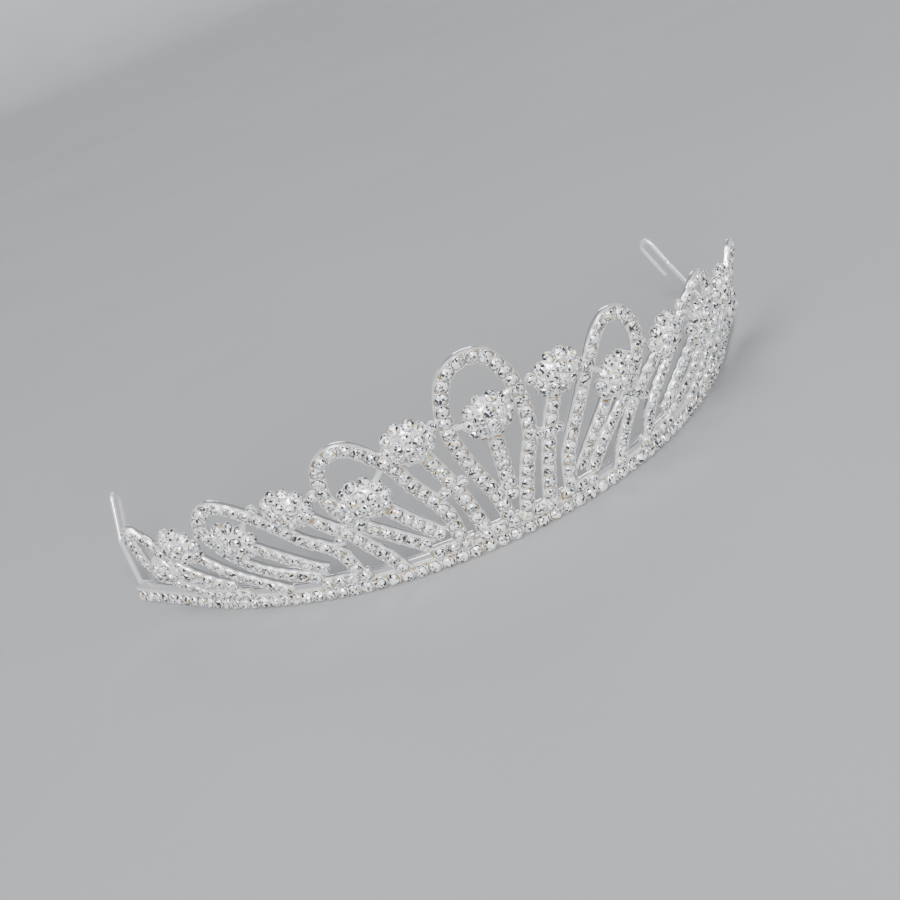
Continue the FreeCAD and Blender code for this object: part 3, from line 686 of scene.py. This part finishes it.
def rounded(points, radius, steps=7):
    """A path of straight runs whose corners are eased by curves."""
    path = [points[0]]
    for before, corner, after in zip(points, points[1:], points[2:]):
        back, ahead = before - corner, after - corner
        half_turn = (math.pi - back.angle(ahead)) / 2
        trim = min(radius * math.tan(half_turn), BEND_SHARE * min(back.length, ahead.length))
        enter, leave = corner + back.normalized() * trim, corner + ahead.normalized() * trim
        for k in range(steps + 1):
            u = k / steps
            weight = 2 * math.cos(half_turn) * u * (1 - u)
            total = (1 - u) ** 2 + weight + u**2
            path.append((enter * (1 - u) ** 2 + corner * weight + leave * u**2) / total)
    return path + [points[-1]]


def add_tube(build, path, radius, sides=14, round_end=False):
    """A round wire along a path, its rings turned no more than the path turns."""
    rings = []
    first = None
    for i, point in enumerate(path):
        heading = (path[min(i + 1, len(path) - 1)] - path[max(i - 1, 0)]).normalized()
        hint = first or Vector((0.2, 0.3, 1.0))
        first, second = axes_for(heading, hint)
        rings += turned([(radius, 0)], point, first, second, heading, sides)
        if round_end and i == len(path) - 1:
            dome = [(radius * math.cos(a), radius * math.sin(a)) for a in (0.4, 0.8, 1.2, 1.45)]
            rings += turned(dome, point, first, second, heading, sides)
    build.loft(rings)


def make_wire_loop(side_name, side):
    """Wire from the inner band's end, back and then up into a narrow hairpin."""
    turn = on_band(side * HALF_RUN)[2]
    inside = RAIL_DEPTH + BAND_GAP + BAND_WIDTH / 2
    middle_height = (BAND_BOTTOM + BAND_TOP - BAND_GROOVE / 2) / 2
    start = beside_band(side * HALF_RUN, -inside, middle_height)
    heading = Vector((math.cos(turn) * side, math.sin(turn) * side, 0))
    foot = BAND_ORIGIN + Vector((side * LOOP_FOOT[side_name][0], *LOOP_FOOT[side_name][1:]))
    tip = BAND_ORIGIN + Vector((side * LOOP_TIP[side_name][0], *LOOP_TIP[side_name][1:]))
    spread_way = Vector((side * LOOP_SPREAD[0], *LOOP_SPREAD[1:]))
    inside_band = start - heading * 1.5
    points = [inside_band, start + heading * WIRE_LEAD, foot, tip, tip + spread_way, foot + spread_way]
    build = Build()
    add_tube(build, rounded(points, WIRE_BEND), WIRE_RADIUS, round_end=True)
    build.finish_piece(f"wire_loop_{side_name}_wire", [WIRE], "polished_wire", f"wire_loop_{side_name}")


def make_arch(name, points):
    metal, gems = Build(), Build()
    add_strip(metal, gems, points)
    finish_pair(name, metal, gems)


# Where the drops' stems start, down between the legs of their arches and below the CAD stems' ends.
STEM_ROOTS = {"inner_drop": [(13.0, 7.8)], "outer_drop": [(34.6, 7.9)], "end_drop": [(61.6, 7.4)]}
STONE_CLEAR = 1.35


def make_cluster_piece(name):
    """A stem with its row of stones and the domed cluster at its upper end."""
    side = side_of(name)
    run, rise = CLUSTERS[name]
    radius = dome_size(name)
    last_run, last_rise = STEMS[name][-1]
    root = STEM_ROOTS.get(name.rsplit("_", 1)[0], [])
    stem = mirrored(root + STEMS[name] + [((last_run + run) / 2, (last_rise + rise) / 2)], side)
    metal, gems = Build(), Build()
    lift = SPRAY_LIFT if "spray" in name else DROP_LIFT
    add_strip(metal, gems, stem, lift, (on_face(side * run, rise), radius + STONE_CLEAR))
    add_cluster(metal, gems, side * run, rise, radius)
    finish_pair(name, metal, gems)


def make_feet():
    """The short level strips at the foot of each fan."""
    metal, gems = Build(), Build()
    for name, (middle, half) in FEET.items():
        for side in ((1,) if name == "centre" else (1, -1)):
            line = [(side * middle + half * (k / 4 - 1), FOOT_RISE) for k in range(9)]
            add_strip(metal, gems, line, FOOT_LIFT)
    finish_pair("fan_feet", metal, gems)


STUD_STONE, STUD_STONE_SINK = 0.8, 0.24


def make_studs(side_name, side):
    """Little round seats with one stone each, which tie neighbouring strips and clusters together."""
    metal, gems = Build(), Build()
    for run, rise in mirrored(STUDS[side_name], side):
        normal = outward(run)
        first, second = axes_for(normal, UP)
        wide = STUD_RADIUS
        rings = [(wide - 0.5, -STRIP_DEPTH), (wide - 0.15, -STRIP_DEPTH), (wide, -STRIP_DEPTH + 0.2),
                 (wide, -0.45), (wide - 0.06, -0.3), (wide - 0.16, -0.28), (wide - 0.2, -0.6)]
        metal.loft(turned(rings, on_face(run, rise), first, second, normal, 24))
        add_stone(gems, on_face(run, rise, -STUD_STONE_SINK), normal, first, STUD_STONE)
    finish_pair(f"tie_studs_{side_name}", metal, gems)


def make_ties():
    """Plain round bars between a cluster and its arch, whose ends run on into both."""
    build = Build()
    for near, far in TIES:
        start, end = on_face(*near, TIE_PROUD), on_face(*far, TIE_PROUD)
        reach = (end - start).normalized() * TIE_REACH
        path = [start - reach + (end - start + reach * 2) * k / 6 for k in range(7)]
        add_tube(build, path, TIE_RADIUS)
    build.finish_piece("cluster_ties_metal", [WIRE], "silver_plate", "cluster_ties")


def make_tiara():
    make_rail()
    make_inner_band()
    make_arch("centre_arch", CENTRE_ARCH)
    for name, points in ARCHES.items():
        make_arch(name, mirrored(points, side_of(name)))
    for name in STEMS:
        make_cluster_piece(name)
    for side_name, side in SIDES.items():
        make_wire_loop(side_name, side)
        make_studs(side_name, side)
    make_feet()
    make_ties()


# ---------------------------------------------------------------- stage, light and camera

def make_stage():
    """A pale floor that curves up far away into a backdrop."""
    material, nodes, links, shader = new_material("pale_floor")
    coordinates = nodes.new("ShaderNodeTexCoord")
    drift = noise(nodes, links, coordinates, 6.0)
    stops = [(0.35, (0.40, 0.405, 0.415)), (0.65, (0.42, 0.425, 0.435))]
    links.new(ramp(nodes, links, drift, stops).outputs["Color"], shader.inputs["Base Color"])
    shader.inputs["Roughness"].default_value = 1.0
    shader.inputs["Specular IOR Level"].default_value = 0.05
    near, start, bend, top, half_width = -4.0, 3.5, 1.5, 3.5, 6.0
    profile = [(near, 0.0), (start, 0.0)]
    for k in range(1, 25):
        angle = math.radians(90) * k / 24
        profile.append((start + bend * math.sin(angle), bend * (1 - math.cos(angle))))
    profile.append((start + bend, top))
    points = [(x, y, z) for y, z in profile for x in (-half_width, half_width)]
    faces = [(2 * i, 2 * i + 1, 2 * i + 3, 2 * i + 2) for i in range(len(profile) - 1)]
    mesh = bpy.data.meshes.new("floor")
    mesh.from_pydata(points, [], faces)
    mesh.polygons.foreach_set("use_smooth", [True] * len(faces))
    mesh.materials.append(material)
    floor = bpy.data.objects.new("floor", mesh)
    bpy.context.scene.collection.objects.link(floor)


def aim(light, place, target):
    """Puts a lamp there, turns it to the target and adds it to the scene."""
    light.location = place
    light.rotation_euler = (Vector(target) - Vector(place)).to_track_quat("-Z", "Y").to_euler()
    bpy.context.scene.collection.objects.link(light)


def area_light(name, place, size, power, colour=(1, 1, 1)):
    data = bpy.data.lights.new(name, "AREA")
    data.shape = "RECTANGLE"
    data.size, data.size_y = size
    data.energy = power
    data.color = colour
    aim(bpy.data.objects.new(name, data), place, (0, 0, 0.02))


LAMP_DISTANCE = 3


def far_light(name, azimuth, elevation, strength, softness):
    """A large lamp so far away that it lights the whole floor evenly; all angles in degrees."""
    data = bpy.data.lights.new(name, "SUN")
    data.energy = strength
    data.angle = math.radians(softness)
    around, up = math.radians(azimuth), math.radians(elevation)
    way = Vector((math.sin(around) * math.cos(up), -math.cos(around) * math.cos(up), math.sin(up)))
    place = way * LAMP_DISTANCE
    aim(bpy.data.objects.new(name, data), place, (0, 0, 0))


def make_lights():
    world = bpy.data.worlds.new("studio")
    world.use_nodes = True
    background = world.node_tree.nodes["Background"]
    background.inputs["Color"].default_value = (0.55, 0.58, 0.62, 1)
    background.inputs["Strength"].default_value = 0.35
    bpy.context.scene.world = world
    far_light("overhead", -30, 55, 1.9, 40)
    far_light("front", -12, 16, 3.4, 24)
    area_light("key", (-0.5, -0.7, 0.55), (0.22, 0.16), 2.5)
    area_light("fill", (0.6, -0.65, 0.25), (0.12, 0.26), 1.6, (0.95, 0.98, 1))
    far_light("rim", 165, 40, 0.8, 30)
    area_light("glint_left", (-0.28, -0.6, 0.42), (0.05, 0.05), 0.5)
    area_light("glint_right", (0.26, -0.62, 0.5), (0.05, 0.05), 0.5)
    area_light("glint_low", (0.02, -0.75, 0.12), (0.05, 0.05), 0.5)


# The camera, in millimetres from the band's own origin, and its angles in degrees.
CAMERA_PLACE = Vector((-42.5, -252.1, 107.7))
CAMERA_AZIMUTH, CAMERA_ELEVATION, CAMERA_ROLL = 8.08, 18.81, 22.68
CAMERA_LENS = 62.1


def make_camera():
    azimuth, elevation, roll = (math.radians(a) for a in (CAMERA_AZIMUTH, CAMERA_ELEVATION, CAMERA_ROLL))
    view = Vector((math.sin(azimuth) * math.cos(elevation), math.cos(azimuth) * math.cos(elevation),
                   -math.sin(elevation)))
    level = Vector((math.cos(azimuth), -math.sin(azimuth), 0))
    upright = level.cross(view)
    right = level * math.cos(roll) - upright * math.sin(roll)
    up = right.cross(view)
    data = bpy.data.cameras.new("camera")
    data.lens, data.sensor_width = CAMERA_LENS, 36
    data.clip_start, data.clip_end = 0.01, 20
    camera = bpy.data.objects.new("camera", data)
    turn = Matrix((right, up, -view)).transposed().to_4x4()
    camera.matrix_world = Matrix.Translation((BAND_ORIGIN + CAMERA_PLACE) * MM) @ turn
    bpy.context.scene.collection.objects.link(camera)
    bpy.context.scene.camera = camera


make_camera()
make_stage()
make_lights()
make_tiara()
